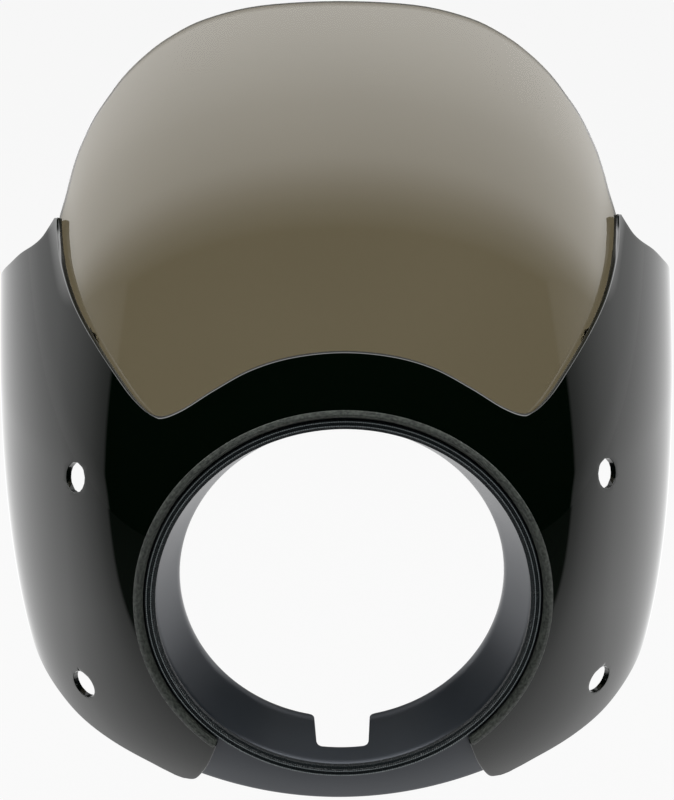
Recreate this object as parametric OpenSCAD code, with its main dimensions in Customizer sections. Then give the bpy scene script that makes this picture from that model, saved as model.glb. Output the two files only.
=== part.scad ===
// Cafe style headlight fairing for a motorcycle, in mm
// X runs across the motorcycle, the face looks along -Y, Z is up
// The headlight axis is the Y axis, and the back of the headlight collar lies at Y = 0

/* [Shell] */
// Width of the shell across its cheeks
shell_w = 355.7; // [330:1:380]
// Height of the widest level over the headlight axis
widest_z = 60; // [50:1:70]
// How far each side tucks in between that level and the leg tips
tuck_in = 34.4; // [29:0.5:40]
// Depth of a level section against half its width, high up
top_fullness = 1.19; // [1.08:0.01:1.3]
// The same, down at the legs
leg_fullness = 0.61; // [0.55:0.01:0.68]
// Thickness of the moulded wall
wall = 3; // [2.6:0.1:3.4]
// Distance of the face's plane in front of the collar's back
face_y = 33; // [30:0.5:37]

/* [Headlight opening] */
// Radius of the cut edge round the headlight
opening_r = 99; // [92:0.5:106]
// Angle below level at which each leg ends on that edge
leg_angle = 51; // [48:1:54]

/* [Windshield] */
// Thickness of the smoked sheet
screen_t = 3; // [2.5:0.1:4]
// Height of the top edge over the headlight axis
screen_top = 261; // [235:1:290]
// Thickness of the rubber strip between sheet and shell
strip_t = 1; // [0.8:0.1:1.5]

/* [Headlight shroud] */
// Bore of the collar, to pass the headlight's bucket
collar_d = 159; // [146:0.5:168]
// Length of the straight collar
collar_l = 7; // [5:0.5:10]
// Thickness of the shroud's wall
shroud_t = 3; // [2.5:0.1:3.4]
// How far the flange reaches past its screws
flange_land = 5; // [4.5:0.1:6]
// Lowest point of the chin under the headlight axis
chin_z = 118.2; // [114:0.5:124]
// Width of the notch for the headlight's lower clamp
notch_w = 28; // [24:0.5:34]
// How far that notch runs in from the back
notch_l = 18.5; // [15:0.5:21]

/* [Rubber trims] */
// How far the trim on the shell's edge reaches over the face
trim_lip = 1.9; // [1.6:0.1:2.2]
// Thickness of the trim's lips
lip_t = 1; // [0.8:0.1:1.1]
// Thickness of the bead on the shroud's front lip
bead_t = 1.3; // [1.1:0.1:1.6]

/* [Fixings] */
// Diameter of the four holes for the fork clamps
clamp_hole_d = 15; // [12:0.5:18]
// Diameter of the thread forming screws
screw_d = 4; // [3.5:0.1:4.4]
// Diameter of the washers under their heads
washer_d = 9.5; // [9:0.1:10.4]
// Thickness of those washers
washer_t = 0.8; // [0.6:0.1:1.2]
// Clearance of a moulded spigot in the hole it fits
fit = 0.3; // [0.2:0.05:0.5]

/* [Hidden] */
// Clearances: seated pieces, faces that touch, rubber on the skin, sheet round the shroud
seat = 0.25;
over = 0.05;
skin_gap = 0.12;
lap_gap = 2.1;
// Moulded spigots, and the pads that hold the shroud off the shell
pad_h = 3.4;
pad_d = 9;
spigot_d = 7;
fix_r = opening_r + trim_lip + pad_d / 2;
flange_r = fix_r + flange_land;
screen_in = wall + strip_t;
flange_in = wall + pad_h;
// Radius of the circle on the skin that lies in the face's plane
edge_land = 1;
plane_r = opening_r + edge_land;
// Roundness of circles, and steps between two listed points of an outline
fine = 48;
mesh_n = 2;

// An outline lists [angle round the shell, height as a percentage of lap_r], and the
// angles fan out or in where the opening takes another share of the width than drawn
lap_r = flange_r + lap_gap;
drawn_share = 0.6326;
function fan(u) = let (q = 2 * lap_r / (drawn_share * shell_w), c = max(cos(u), 0))
    u + (asin(min(q * sin(u), 0.99)) - u) * c * c;
function drawn(list) = [for (p = list) [fan(p[0]), p[1] * lap_r / 100]];

// Window edge from the centre out to the tip
window_edge = drawn([[-7.5, 108.3], [0, 110.4], [7.5, 108.3], [14, 102.8], [20, 93.9],
    [25.6, 84.4], [29.9, 79.8], [33.6, 82.8], [37.9, 90.6], [42.9, 100.1], [47.4, 109.9],
    [50.5, 120.9], [51.6, 130.2], [52, 137.3]]);
// Free end of each leg, from its tip up to the headlight opening
leg_end = drawn([[33.4, -93.2], [30.9, -92.4], [28.7, -87.6], [26.6, -80.9], [25, -74.1]]);
// Outer edge from the leg tip round the bottom, the back and the shoulder to the tip
outer_edge = drawn([[35.6, -92.1], [38.4, -89.7], [42, -86.6], [51, -80.3], [60, -73.3],
    [67.5, -65.3], [77, -55.1], [86, -40.9], [92, -24], [95, -4.4], [96.5, 16], [97, 33.8],
    [96.5, 50.7], [92, 70.2], [84.5, 87.1], [77.5, 96.9], [71, 105.6], [65, 114.5],
    [60, 121.4], [56.9, 126.6], [54.6, 132.1], [53, 136.4]]);
// Hidden lower edge of the windshield, from the centre out
screen_low = drawn([[-9, 97.3], [0, 100], [9, 97.3], [16, 90.4], [21.3, 81.3], [25.3, 73.3],
    [29.6, 69.3], [34.5, 70.6], [39, 78], [43.1, 85.8], [47.3, 94.7], [51, 104.5],
    [53.4, 114.7], [54.3, 121.8], [54.5, 126.6]]);
// Its free upper edge, with heights as a percentage of the way from tip to top
screen_high = [[-12.5, 97.6], [0, 100], [12.5, 97.6], [22.1, 90.8], [29, 81.8], [34, 72.8],
    [38, 64], [41.3, 55.1], [44.3, 46.5], [46.7, 38], [48.8, 29.5], [50.3, 21.4], [51.6, 13.2],
    [53, 5.9], [54, 0]];
tip_z = 1.333 * lap_r;
// Places of the screws and clamp holes, and the directions of the shroud's screws
screen_fix = drawn([[0, 105.1], [23.4, 82.9], [45.4, 97.8]]);
clamp_fix = drawn([[46.8, 44.2], [53.5, -52.4]]);
shroud_fix = [78, 38, 4, -30];

// The outer skin: level sections are half ellipses that fill out with height
leg_z = leg_end[0][1];
blend_h = 1.5 * plane_r;
function half_w(z) = shell_w / 2 - tuck_in * pow(max(widest_z - z, 0) / (widest_z - leg_z), 2);
function ease(t) = let (s = min(max(t, 0), 1)) s * s * (3 - 2 * s);
function full(z) = leg_fullness + (top_fullness - leg_fullness) * ease((z + plane_r) / blend_h);
function bow(z) = sqrt(max(1 + (z * z - plane_r * plane_r) / pow(half_w(z), 2), 0));
function skin(u, z) = [half_w(z) * sin(u),
    half_w(z) * full(z) * (bow(z) - cos(u)) - face_y, z];
function out_dir(u, z) = let (n = cross(skin(u + 0.5, z) - skin(u - 0.5, z),
    skin(u, z + 0.5) - skin(u, z - 0.5))) n / norm(n);
function sheet(s, t) = let (p = skin(s[0], s[1]) - t * out_dir(s[0], s[1]))
    [for (c = p) round(c * 10000) / 10000];
function polar(r, a) = [asin(r * cos(a) / half_w(r * sin(a))), r * sin(a)];

// Smooth lines through listed points
function pick(p, i) = p[min(max(i, 0), len(p) - 1)];
function along(p, t) = let (i = min(floor(t), len(p) - 2), s = t - i,
    a = pick(p, i - 1), b = pick(p, i), c = pick(p, i + 1), d = pick(p, i + 2))
    b + s * (c - a) / 2 + s * s * (a - 2.5 * b + 2 * c - d / 2)
    + s * s * s * (3 * b - a - 3 * c + d) / 2;
function mix(a, b, s) = a + (b - a) * s;
function flip(s) = [-s[0], s[1]];

// Triangles between lines of points, and solids from them
function pair(a, b, c, d) = [[a, b, c], [a, c, d]];
function web(g) = [for (i = [0:len(g) - 2], j = [0:len(g[0]) - 2])
    each pair(g[i][j], g[i + 1][j], g[i + 1][j + 1], g[i][j + 1])];
function turned(ts) = [for (t = ts) [t[0], t[2], t[1]]];
function rim(a, b) = [for (i = [0:len(a) - 2]) each pair(a[i], b[i], b[i + 1], a[i + 1])];
function raised(g, t) = [for (l = g) [for (s = l) sheet(s, t)]];
function side(g, j) = [for (l = g) l[j]];
module solid(ts) {
    polyhedron(points = [for (t = ts, p = t) p],
        faces = [for (i = [0:len(ts) - 1]) [3 * i, 3 * i + 2, 3 * i + 1]], convexity = 8);
}
// A closed sheet over a grid of places, between two depths under the skin
function slab(g, t1, t2) = let (a = raised(g, t1), b = raised(g, t2), n = len(g) - 1,
    m = len(g[0]) - 1) concat(web(a), turned(web(b)), rim(b[0], a[0]), rim(a[n], b[n]),
    rim(side(a, 0), side(b, 0)), rim(side(b, m), side(a, m)));
// Children stand on the skin at a place, with +Z pointing outwards
module on_skin(s, t) {
    n = out_dir(s[0], s[1]);
    translate(sheet(s, t)) rotate([0, acos(n[2]), atan2(n[1], n[0])]) children();
}
module both(list) {
    for (s = list) {
        on_skin(s, 0) children();
        if (s[0] > 1) on_skin(flip(s), 0) children();
    }
}

// The cheek's inner line: leg end, headlight opening, join to the bridge, window edge
join_a = 26;
lowest = 6;
legs = len(leg_end);
ring_end = legs + 7;
join_end = ring_end + 2;
function inner_line(t) = t < legs ? along(concat(leg_end, [polar(opening_r, -leg_angle)]), t)
    : t <= ring_end ? polar(opening_r, mix(-leg_angle, join_a, (t - legs) / (ring_end - legs)))
    : t <= join_end ? mix(polar(opening_r, join_a), window_edge[lowest],
        (t - ring_end) / (join_end - ring_end))
    : along(window_edge, t - join_end + lowest);
rows = len(outer_edge) - 1;
cols = 14;
function cheek() = [for (i = [0:rows * mesh_n]) let (t = i / mesh_n)
    [for (j = [0:cols]) mix(inner_line(t), along(outer_edge, t), j / cols)]];
// The bridge over the headlight, from cheek to cheek
bridge_n = lowest - 1;
function bridge_line(t) = let (a = abs(t), lo = polar(opening_r, mix(90, join_a, a / bridge_n)),
    hi = along(window_edge, a + 1), m = (join_end - ring_end) * mesh_n)
    [for (j = [0:m]) let (s = mix(lo, hi, j / m)) t < 0 ? flip(s) : s];
function bridge() = [for (i = [-bridge_n * mesh_n:bridge_n * mesh_n]) bridge_line(i / mesh_n)];

function cheek_side(g) = let (a = raised(g, 0), b = raised(g, wall), n = len(g) - 1,
    k1 = ring_end * mesh_n, k2 = join_end * mesh_n, ia = side(a, 0), ib = side(b, 0))
    concat(web(a), turned(web(b)), rim(b[0], a[0]), rim(a[n], b[n]),
    rim([for (i = [0:k1]) ia[i]], [for (i = [0:k1]) ib[i]]),
    rim([for (i = [k2:n]) ia[i]], [for (i = [k2:n]) ib[i]]),
    rim(side(b, cols), side(a, cols)));
function mirrored(ts) = [for (t = ts) [for (p = [t[0], t[2], t[1]]) [-p[0], p[1], p[2]]]];
function bridge_body(g) = let (a = raised(g, 0), b = raised(g, wall), m = len(g[0]) - 1)
    concat(turned(web(a)), web(b), rim(side(b, 0), side(a, 0)), rim(side(a, m), side(b, m)));

// Spigots rise from the back of the wall to a depth, some from a wider pad
module spigots(list, base, depth) {
    both(list) {
        if (base > 0) translate([0, 0, -wall - base])
            cylinder(d = pad_d, h = base + wall / 2, $fn = fine);
        translate([0, 0, -depth]) cylinder(d = spigot_d, h = depth - wall / 2, $fn = fine);
    }
}
module pilot_holes(list, depth) {
    both(list) translate([0, 0, -depth - seat])
        cylinder(d = screw_d + over, h = depth - wall / 2 + seat * 2, $fn = fine);
}
screen_back = screen_in + screen_t;
flange_back = flange_in + shroud_t;
shroud_places = [for (a = shroud_fix) polar(fix_r, a)];

module fairing_shell() {
    color([0.02, 0.02, 0.02]) difference() {
        union() {
            c = cheek_side(cheek());
            solid(turned(concat(c, mirrored(c), bridge_body(bridge()))));
            spigots(screen_fix, 0, screen_back - seat);
            spigots(shroud_places, pad_h, flange_back - seat);
        }
        both(clamp_fix) translate([0, 0, -2 * wall])
            cylinder(d = clamp_hole_d, h = 3 * wall, $fn = fine);
        pilot_holes(screen_fix, screen_back);
        pilot_holes(shroud_places, flange_back);
    }
}

// Columns of the windshield, left to right, each from the hidden edge up to the free one
screen_n = len(screen_low) - 2;
screen_rows = 12;
function raised_edge(p) = [fan(p[0]), mix(tip_z, screen_top, p[1] / 100)];
function screen_at(t, j) = let (a = abs(t), lo = along(screen_low, a + 1),
    s = mix(lo, raised_edge(along(screen_high, a + 1)), j)) t < 0 ? flip(s) : s;
function screen_grid() = [for (i = [-screen_n * mesh_n:screen_n * mesh_n])
    [for (j = [0:screen_rows]) screen_at(i / mesh_n, j / screen_rows)]];

module windshield() {
    color([0.3, 0.28, 0.22, 0.7]) difference() {
        solid(turned(slab(screen_grid(), screen_in, screen_in + screen_t)));
        both(screen_fix) translate([0, 0, -screen_in - 2 * screen_t])
            cylinder(d = spigot_d + fit, h = 3 * screen_t, $fn = fine);
    }
}

// The strip lies between shell and windshield, and follows the lap of the two
strip_end = 10.5;
strip_end_low = 11.9;
strip_from = 0.08;
strip_to = 0.84;
function strip_at(t, j) = let (a = abs(t), lo = along(screen_low, a * strip_end_low / strip_end + 1),
    hi = along(window_edge, a + 1), s = mix(lo, hi, mix(strip_from, strip_to, j))) t < 0 ? flip(s) : s;
function strip_grid() = [for (i = [-mesh_n * strip_end:mesh_n * strip_end])
    [for (j = [0:mesh_n]) strip_at(i / mesh_n, j / mesh_n)]];
module windshield_strip() {
    color([0.08, 0.08, 0.08]) difference() {
        solid(turned(slab(strip_grid(), wall + seat, screen_in - over)));
        both(screen_fix) translate([0, 0, -screen_in - strip_t])
            cylinder(d = spigot_d + fit, h = 3 * strip_t, $fn = fine);
    }
}

// Rubber channel on the opening's edge: each outline point is [outwards, along the normal]
trim_web = 1.1;
function channel() = [[trim_lip, skin_gap], [trim_lip, lip_t * 0.6], [trim_lip - lip_t / 2, lip_t],
    [-trim_web * 0.3, lip_t], [-trim_web * 0.8, lip_t / 2], [-trim_web, -lip_t * 0.3],
    [-trim_web, lip_t * 0.4 - wall], [-trim_web * 0.55, -wall - lip_t * 0.9], [0, -wall - lip_t],
    [trim_lip, -wall - lip_t], [trim_lip, -wall - skin_gap], [-over, -wall - skin_gap],
    [-over, skin_gap]];
function edge_frame(a) = let (s = polar(opening_r, a), n = out_dir(s[0], s[1]),
    q = sheet(polar(opening_r + 0.5, a), 0) - sheet(polar(opening_r - 0.5, a), 0),
    d = q - (q * n) * n) [sheet(s, 0), d / norm(d), n];
function trim_ring(a) = let (f = edge_frame(a)) [for (c = channel()) f[0] + c[0] * f[1] + c[1] * f[2]];
trim_n = 52;
trim_end = leg_angle - 0.6;
module opening_trim() {
    rings = [for (i = [0:trim_n]) trim_ring(mix(-trim_end, 180 + trim_end, i / trim_n))];
    m = len(channel());
    p = [for (r = rings, c = r) c];
    color([0.2, 0.21, 0.2]) polyhedron(points = p, faces = concat(
        [for (i = [0:trim_n - 1], j = [0:m - 1], k = [0, 1]) let (a = i * m + j,
            b = i * m + (j + 1) % m) k == 0 ? [a, a + m, b + m] : [a, b + m, b]],
        [[for (j = [0:m - 1]) j], [for (j = [m - 1:-1:0]) trim_n * m + j]]), convexity = 8);
}

// Radii and depths of the shroud's ring, as [radius, distance in front of the collar's back]
bore_r = collar_d / 2;
lip_gap = 5;
lip_w = 2.4;
lip_out = opening_r - lip_gap;
lip_in = lip_out - lip_w;
lip_f = face_y - 2;
cuff = 5.8;
fold = 1;
sleeve = [[bore_r, 0], [bore_r + shroud_t, 0], [bore_r + shroud_t, collar_l - fold],
    [lip_out, lip_f - cuff], [lip_out, lip_f], [lip_in, lip_f], [lip_in, lip_f - cuff + lip_w],
    [lip_in - fold, lip_f - cuff + lip_w - fold / 2], [bore_r, collar_l]];
// Flange behind the shell: outer edge as a radius for each direction, chin in the middle
chin_bow = 0.71;
chin_a = 35;
chin_blend = 17;
flange_gap = 2.6;
function chin_r(d) = chin_z / cos(d * chin_bow);
function flange_edge(a) = let (d = abs(a + 90)) d < chin_a ? chin_r(d)
    : mix(chin_r(chin_a), flange_r, ease((d - chin_a) / chin_blend));
flange_n = 90;
function flange_line(a) = [for (j = [0:3]) polar(mix(lip_out + flange_gap, flange_edge(a), j / 3), a)];
function flange_grid() = [for (i = [0:flange_n]) flange_line(-270 + i * 360 / flange_n)];
module headlight_shroud() {
    color([0.14, 0.15, 0.15]) difference() {
        union() {
            rotate([90, 0, 0]) rotate_extrude($fn = 96) polygon(sleeve);
            solid(flange_body());
        }
        translate([0, 0, -lip_out]) linear_extrude(height = lip_out / 3) notch();
        both(shroud_places) translate([0, 0, -flange_in - 2 * shroud_t])
            cylinder(d = spigot_d + fit, h = 3 * shroud_t, $fn = fine);
    }
}
// Plan of the notch, a little narrower at its inner end, with rounded corners all round
notch_round = 2.6;
module notch() {
    out = 4 * notch_round;
    end_w = notch_w * 0.91;
    offset(r = -notch_round, $fn = fine) offset(delta = notch_round) union() {
        offset(r = notch_round, $fn = fine) offset(delta = -notch_round)
            polygon([[-notch_w / 2, out], [-notch_w / 2, 0], [-end_w / 2, -notch_l],
                [end_w / 2, -notch_l], [notch_w / 2, 0], [notch_w / 2, out]]);
        translate([-notch_w, 0]) square([2 * notch_w, out]);
    }
}
// The flange closes on itself, and its inner wall follows the lip
function flange_body() = let (g = flange_grid(), a = raised(g, flange_in),
    b = raised(g, flange_in + shroud_t), ia = [for (l = a) to_lip(l[0])],
    ib = [for (l = b) to_lip(l[0])])
    concat(turned(web([for (i = [0:flange_n]) concat([ia[i]], a[i])])),
    web([for (i = [0:flange_n]) concat([ib[i]], b[i])]), rim(ib, ia), rim(side(a, 3), side(b, 3)));
function to_lip(p) = let (r = norm([p[0], p[2]]), k = (lip_in + lip_w * 0.4) / r)
    [round(p[0] * k * 1e4) / 1e4, p[1], round(p[2] * k * 1e4) / 1e4];

// Bead of rubber pushed over the shroud's front lip, with a shallow groove along its crown
leg_out = 1.2;
leg_in = 2.6;
bead = [[lip_out + over, lip_f - leg_out], [lip_out + bead_t, lip_f - leg_out],
    [lip_out + bead_t, lip_f + bead_t / 2], [lip_out + bead_t * 0.6, lip_f + bead_t],
    [lip_out, lip_f + bead_t * 1.15], [lip_out - bead_t / 2, lip_f + bead_t * 0.85],
    [lip_in - bead_t * 0.15, lip_f + bead_t * 0.7], [lip_in - bead_t / 2, lip_f + bead_t * 0.9],
    [lip_in - bead_t * 0.85, lip_f + bead_t * 0.7], [lip_in - bead_t, lip_f + bead_t * 0.15],
    [lip_in - bead_t, lip_f - leg_in], [lip_in - over, lip_f - leg_in],
    [lip_in - over, lip_f + over], [lip_out + over, lip_f + over]];
module shroud_trim() {
    color([0.1, 0.11, 0.11]) rotate([90, 0, 0]) rotate_extrude($fn = 96) polygon(bead);
}

// Pan head screws and plain washers behind a face at a depth, with the screw's tip at another
module screws(list, face, tip) {
    head = face + washer_t + 2 * seat;
    both(list) translate([0, 0, -head]) rotate([180, 0, 0]) {
        translate([0, 0, tip - head]) cylinder(d = screw_d - over, h = head - tip + seat, $fn = fine);
        difference() {
            cylinder(d1 = screw_d * 1.9, d2 = screw_d * 1.5, h = screw_d * 0.6, $fn = fine);
            translate([0, 0, screw_d * 0.3]) cylinder(d = screw_d * 0.62, h = screw_d, $fn = 6);
        }
    }
}
module washers(list, face) {
    both(list) translate([0, 0, -face - washer_t - seat]) difference() {
        cylinder(d = washer_d, h = washer_t, $fn = fine);
        translate([0, 0, -washer_t]) cylinder(d = screw_d + fit, h = 3 * washer_t, $fn = fine);
    }
}
module windshield_screws() color([0.6, 0.6, 0.62]) screws(screen_fix, screen_back, wall / 2);
module windshield_washers() color([0.6, 0.6, 0.62]) washers(screen_fix, screen_back);
module shroud_screws() color([0.6, 0.6, 0.62]) screws(shroud_places, flange_back, wall);
module shroud_washers() color([0.6, 0.6, 0.62]) washers(shroud_places, flange_back);

fairing_shell();
windshield();
windshield_strip();
opening_trim();
headlight_shroud();
shroud_trim();
windshield_screws();
windshield_washers();
shroud_screws();
shroud_washers();
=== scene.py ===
import math
import bmesh
import bpy
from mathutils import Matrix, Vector


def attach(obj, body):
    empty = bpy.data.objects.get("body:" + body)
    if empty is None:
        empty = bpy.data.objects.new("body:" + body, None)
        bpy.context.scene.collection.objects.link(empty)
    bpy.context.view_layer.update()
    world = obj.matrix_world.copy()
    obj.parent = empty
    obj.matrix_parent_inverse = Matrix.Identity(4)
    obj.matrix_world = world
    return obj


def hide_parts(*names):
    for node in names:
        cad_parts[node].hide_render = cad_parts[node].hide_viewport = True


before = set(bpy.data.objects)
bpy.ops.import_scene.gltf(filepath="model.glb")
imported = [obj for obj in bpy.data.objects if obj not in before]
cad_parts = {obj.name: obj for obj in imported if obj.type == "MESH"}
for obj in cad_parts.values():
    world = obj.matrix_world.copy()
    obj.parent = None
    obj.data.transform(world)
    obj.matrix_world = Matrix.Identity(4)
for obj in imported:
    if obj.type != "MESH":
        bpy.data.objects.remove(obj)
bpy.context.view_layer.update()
print("frame loaded:", ", ".join(sorted(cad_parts)))

mm = 0.001
metre = 1000  # in mm, for the scale of a pattern


# the outer skin that every piece follows: level sections that fill out with height
# outlines list (degrees round the shell, height as a percentage of lapR)
skin = {"halfWidth": 177.85, "widestZ": 60, "tuckIn": 34.4, "legZ": -104.85, "lowZ": -100, "blend": 150,
        "topFull": 1.19, "legFull": 0.61, "faceY": 33, "planeR": 100, "wall": 3, "lapR": 112.5}


def drawn(points):
    return [(u, h * skin["lapR"] / 100) for u, h in points]


def halfWidth(z):
    drop = max(skin["widestZ"] - z, 0) / (skin["widestZ"] - skin["legZ"])
    return skin["halfWidth"] - skin["tuckIn"] * drop ** 2


def fullness(z):
    s = min(max((z - skin["lowZ"]) / skin["blend"], 0), 1)
    return skin["legFull"] + (skin["topFull"] - skin["legFull"]) * s * s * (3 - 2 * s)


def skinPoint(u, z):
    half = halfWidth(z)
    bow = math.sqrt(max(1 + (z * z - skin["planeR"] ** 2) / half ** 2, 0))
    a = math.radians(u)
    return Vector((half * math.sin(a), half * fullness(z) * (bow - math.cos(a)) - skin["faceY"], z))


def skinNormal(u, z):
    across = skinPoint(u + 0.5, z) - skinPoint(u - 0.5, z)
    upwards = skinPoint(u, z + 0.5) - skinPoint(u, z - 0.5)
    return across.cross(upwards).normalized()


def skinPlace(u, z, depth):
    return (skinPoint(u, z) - skinNormal(u, z) * depth) * mm


def polar(r, a):
    z = r * math.sin(math.radians(a))
    return (math.degrees(math.asin(r * math.cos(math.radians(a)) / halfWidth(z))), z)


def mix(a, b, s):
    return tuple(p + (q - p) * s for p, q in zip(a, b))


def along(points, t):
    # smooth line through listed points
    i = min(int(t), len(points) - 2)
    s = t - i
    a, b, c, d = (points[min(max(k, 0), len(points) - 1)] for k in (i - 1, i, i + 1, i + 2))
    return tuple(q + s * (r - p) / 2 + s * s * (p - 2.5 * q + 2 * r - w / 2)
                 + s ** 3 * (3 * q - p - 3 * r + w) / 2 for p, q, r, w in zip(a, b, c, d))


# sheets: a flat grid is laid on the skin, trimmed, and given a wall with round edges
trimming = {"halvings": 18, "offCorners": (0.02, 0.98)}
edgeRoom = {"share": 0.8, "openMm": 0.3, "leastMm": 0.1, "passes": 6, "slack": 1.1, "leastSpread": 0.7}


def flatGrid(bm, nx, ny, where):
    # where(s, t) gives the place of each grid point, s and t from 0 to 1
    old = set(bm.verts)
    bmesh.ops.create_grid(bm, x_segments=nx, y_segments=ny, size=0.5)
    new = [v for v in bm.verts if v not in old]
    for v in new:
        a, b = where(v.co.x + 0.5, v.co.y + 0.5)
        v.co = (a, b, 0)
    return new


def trimSheet(bm, field, cut):
    # cuts the sheet where field(x, y) is under zero; the new edge is kept in the set cut
    value = {v: field(v.co.x, v.co.y) for v in bm.verts}
    crossing = [e for e in bm.edges if value[e.verts[0]] * value[e.verts[1]] < 0]
    made = []
    for e in crossing:
        v0, v1 = e.verts
        low, high = 0.0, 1.0
        for _ in range(trimming["halvings"]):
            middle = (low + high) / 2
            p = v0.co.lerp(v1.co, middle)
            if field(p.x, p.y) * value[v0] > 0:
                low = middle
            else:
                high = middle
        least, most = trimming["offCorners"]
        fraction = min(max((low + high) / 2, least), most)
        made.append(bmesh.utils.edge_split(e, v0, fraction)[1])
    bmesh.ops.connect_verts(bm, verts=made)
    gone = []
    for f in bm.faces:
        c = f.calc_center_median()
        if field(c.x, c.y) < 0:
            gone.append(f)
    bmesh.ops.delete(bm, geom=gone, context="FACES")
    cut.update(v for v in made if v.is_valid)


def giveWall(bm, place, thickness, rounding, cut=(), cutRound=0.0, steps=5):
    # lifts the flat sheet to its place and closes it with a second sheet and rounded edges;
    # rounding(x, y) gives the radii at the front and the back, in mm like cutRound
    flat = {v: (v.co.x, v.co.y) for v in bm.verts}
    spot = {v: (place(x, y, 0), place(x, y, thickness)) for v, (x, y) in flat.items()}
    edges = [e for e in bm.edges if e.is_boundary]
    for v, (top, _) in spot.items():
        v.co = top
    outwards = {}
    for e in edges:
        a, b = e.verts
        side = e.link_faces[0].calc_center_median()
        normal = (spot[a][0] - spot[a][1]).normalized()
        away = (b.co - a.co).normalized().cross(normal)
        if away.dot((a.co + b.co) / 2 - side) < 0:
            away.negate()
        for v in e.verts:
            outwards.setdefault(v, []).append(away)
    least = edgeRoom["leastSpread"]
    away = {v: sum(d, Vector()).normalized() / max(sum(d, Vector()).length / len(d), least)
            for v, d in outwards.items()}
    # the room up to the next row, evened out along the edge
    room = {}
    for v in away:
        inside = [e.other_vert(v) for e in v.link_edges if e.other_vert(v) not in away]
        nearest = min(((v.co - w.co).dot(away[v]) for w in inside), default=edgeRoom["openMm"] * mm)
        room[v] = max(edgeRoom["share"] * nearest, edgeRoom["leastMm"] * mm)
    beside = {v: [e.other_vert(v) for e in v.link_edges if e.is_boundary] for v in away}
    for _ in range(edgeRoom["passes"]):
        room = {v: min(r, sum(room[w] for w in beside[v]) / len(beside[v]) * edgeRoom["slack"])
                for v, r in room.items()}
    radii = {v: tuple(min(r * mm, room[v]) for r in rounding(*flat[v])) for v in away}
    radii.update((v, (cutRound * mm, cutRound * mm)) for v in cut if v in away)
    start = {v: (0 if v in cut else -radii[v][0]) for v in away}
    faces = list(bm.faces)
    copied = bmesh.ops.duplicate(bm, geom=list(bm.verts) + list(bm.edges) + faces)
    twin = copied["vert_map"]
    inner = [twin[v] for v in flat]
    bmesh.ops.reverse_faces(bm, faces=[g for g in copied["geom"] if isinstance(g, bmesh.types.BMFace)])
    for v in flat:
        front, back = radii.get(v, (0, 0))
        twin[v].co = spot[v][1] + (away[v] * (start[v] + front - back) if v in away else Vector())
        v.co = spot[v][0] + (away[v] * start[v] if v in away else Vector())
    arc = [math.pi / 2 * k / steps for k in range(steps + 1)]
    outline = [(True, a) for a in arc[1:]] + [(False, a) for a in reversed(arc)]
    source = {v: v for v in away}
    ringEdges = edges
    for atFront, a in outline:
        made = bmesh.ops.extrude_edge_only(bm, edges=ringEdges)["geom"]
        newVerts = [g for g in made if isinstance(g, bmesh.types.BMVert)]
        fresh = set(newVerts)
        nextSource = {}
        for v in newVerts:
            old = next(e.other_vert(v) for e in v.link_edges if e.other_vert(v) in source)
            nextSource[v] = source[old]
        for v, base in nextSource.items():
            top, under = spot[base]
            front, back = radii[base]
            if atFront:
                push, sink = front * math.sin(a), front * (1 - math.cos(a))
            else:
                push, sink = front - back + back * math.sin(a), thickness * mm - back * (1 - math.cos(a))
            v.co = top + (under - top).normalized() * sink + away[base] * (start[base] + push)
        ringEdges = [g for g in made
                     if isinstance(g, bmesh.types.BMEdge) and all(w in fresh for w in g.verts)]
        source = nextSource
    bmesh.ops.remove_doubles(bm, verts=list(source) + inner, dist=1e-6)


def finishPiece(name, bm, material, replaced):
    mesh = bpy.data.meshes.new(name)
    for f in bm.faces:
        f.smooth = True
    bm.to_mesh(mesh)
    bm.free()
    piece = bpy.data.objects.new(name, mesh)
    bpy.context.collection.objects.link(piece)
    mesh.materials.append(material)
    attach(piece, "root")
    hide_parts(*replaced)
    print(name, len(mesh.polygons), "faces")
    return piece


# materials
def toLinear(hexColour):
    # sRGB hex to linear
    values = [int(hexColour[i:i + 2], 16) / 255 for i in (1, 3, 5)]
    return tuple(v / 12.92 if v <= 0.04045 else ((v + 0.055) / 1.055) ** 2.4 for v in values) + (1.0,)


def addNode(tree, kind, settings=None, inputs=None, links=None):
    node = tree.nodes.new(kind)
    for key, value in (settings or {}).items():
        setattr(node, key, value)
    for key, value in (inputs or {}).items():
        node.inputs[key].default_value = value
    for key, source in (links or {}).items():
        tree.links.new(source, node.inputs[key])
    return node


def newMaterial(name):
    material = bpy.data.materials.new(name)
    material.use_nodes = True
    tree = material.node_tree
    tree.nodes.clear()
    shader = addNode(tree, "ShaderNodeBsdfPrincipled")
    addNode(tree, "ShaderNodeOutputMaterial", links={"Surface": shader.outputs[0]})
    return material, tree, shader


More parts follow.
